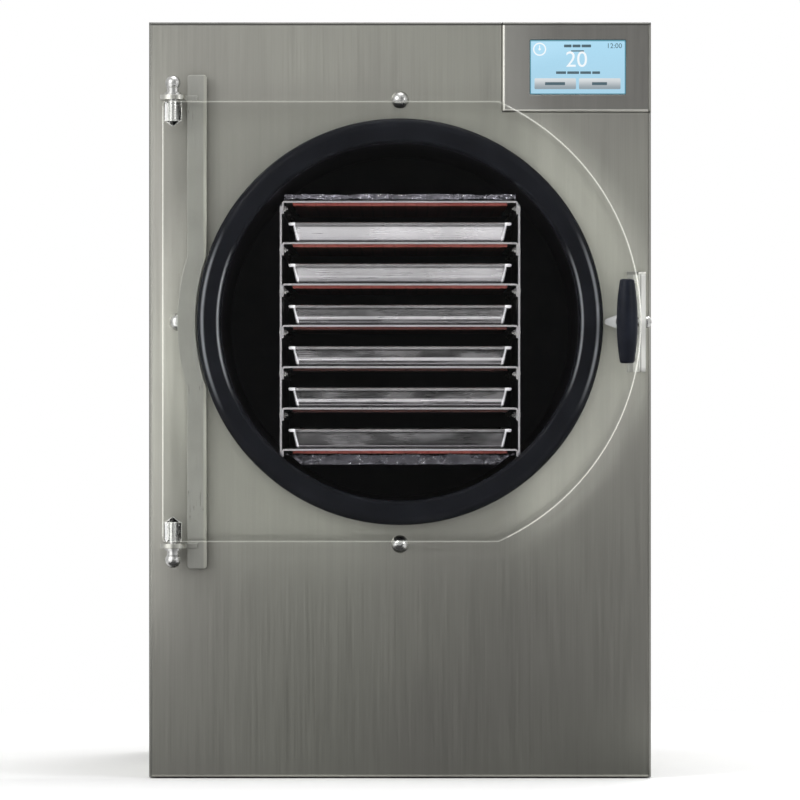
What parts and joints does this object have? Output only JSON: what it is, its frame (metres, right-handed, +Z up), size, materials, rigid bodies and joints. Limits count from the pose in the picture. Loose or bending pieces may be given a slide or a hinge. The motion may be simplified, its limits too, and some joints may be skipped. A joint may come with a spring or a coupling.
{
  "type": "freeze dryer",
  "caption": "Upright freeze dryer: steel cabinet, round vacuum chamber with a clear swinging door, turn latch, touch screen, and a rack of heated shelves with trays.",
  "frame": {"origin": "on the floor, under the centre of the whole machine's box", "axes": "+X to the right of a person facing the door, +Y from the door to the back, +Z up"},
  "size_m": [0.54, 0.8087, 0.8135],
  "materials": {
    "stainless": "vertical brushed satin stainless steel",
    "fascia_steel": "brushed satin stainless steel",
    "bright_steel": "polished stainless steel",
    "chrome": "polished",
    "rubber": "satin black silicone and rubber",
    "screen": "lit touch screen behind clear glass",
    "circuit": "green board with dark parts",
    "black_coat": "black coated steel",
    "foam": "closed-cell foam",
    "copper": "drawn copper tube",
    "galvanised": "galvanised sheet",
    "rack_steel": "satin sheet, with red-brown silicone mats beneath",
    "tray_steel": "satin stainless steel",
    "foil": "crinkled foil over batting",
    "black_enamel": "black enamel",
    "fins": "thin fins on copper tubes",
    "black_plastic": "moulded black plastic",
    "red_plastic": "moulded red plastic",
    "brass": "turned brass",
    "acrylic": "clear acrylic plate with polished edges",
    "grip": "black moulded grip"
  },
  "bodies": {
    "cabinet": {"base_tray": "stainless", "front_panel": "stainless", "side_panel_left": "stainless", "side_panel_right": "stainless", "top_cover": "stainless", "rear_panel": "stainless", "hinge_bracket": "stainless", "strike_bracket": "stainless", "control_fascia": "fascia_steel", "flange_bolts": "bright_steel", "hinge_pins": "bright_steel", "hinge_nuts": "bright_steel", "strike_bolt": "bright_steel", "strike_keeper": "bright_steel", "door_gasket": "rubber", "feet": "rubber", "touch_screen": "screen", "control_board": "circuit", "vacuum_chamber": "black_coat", "chamber_back": "black_coat", "chamber_insulation": "foam", "evaporator_coil": "copper", "suction_line": "copper", "discharge_line": "copper", "chamber_saddle": "galvanised", "fan_shroud": "galvanised", "rack_side_left": "rack_steel", "rack_side_right": "rack_steel", "shelf_1": "rack_steel", "shelf_2": "rack_steel", "shelf_3": "rack_steel", "shelf_4": "rack_steel", "shelf_5": "rack_steel", "shelf_6": "rack_steel", "shelf_7": "rack_steel", "tray_1": "tray_steel", "tray_2": "tray_steel", "tray_3": "tray_steel", "tray_4": "tray_steel", "tray_5": "tray_steel", "tray_6": "tray_steel", "foil_blanket_top": "foil", "foil_blanket_bottom": "foil", "compressor": "black_enamel", "fan_motor": "black_enamel", "condenser": "fins", "power_inlet": "black_plastic", "pump_outlet": "black_plastic", "switch_body": "black_plastic", "vacuum_port": "brass", "drain_valve": "brass"},
    "door": {"door_plate": "acrylic", "hinge_bushes": "bright_steel", "latch_bush": "bright_steel"},
    "latch": {"door_handle": "grip", "latch_shaft": "bright_steel", "latch_cam": "chrome"},
    "fan": {"condenser_fan": "fins"},
    "switch": {"switch_rocker": "red_plastic"},
    "drain": {"drain_lever": "red_plastic"}
  },
  "joints": [
    {"name": "door_hinge", "type": "hinge", "parent": "cabinet", "child": "door", "pos_m": [-0.243, -0.34235, 0.491], "axis": [0, 0, -1], "range_deg": [0, 165]},
    {"name": "latch_turn", "type": "hinge", "parent": "door", "child": "latch", "pos_m": [0.2415, -0.32965, 0.491], "axis": [0, 1, 0], "range_deg": [0, 180]},
    {"name": "fan_spin", "type": "hinge", "parent": "cabinet", "child": "fan", "pos_m": [-0.214, -0.01465, 0.118], "axis": [1, 0, 0], "continuous": true},
    {"name": "rocker_tilt", "type": "hinge", "parent": "cabinet", "child": "switch", "pos_m": [-0.145, 0.34235, 0.2665], "axis": [1, 0, 0], "range_deg": [0, 20]},
    {"name": "drain_turn", "type": "hinge", "parent": "cabinet", "child": "drain", "pos_m": [0, 0.36735, 0.1685], "axis": [0, 0, 1], "range_deg": [0, 90]}
  ]
}
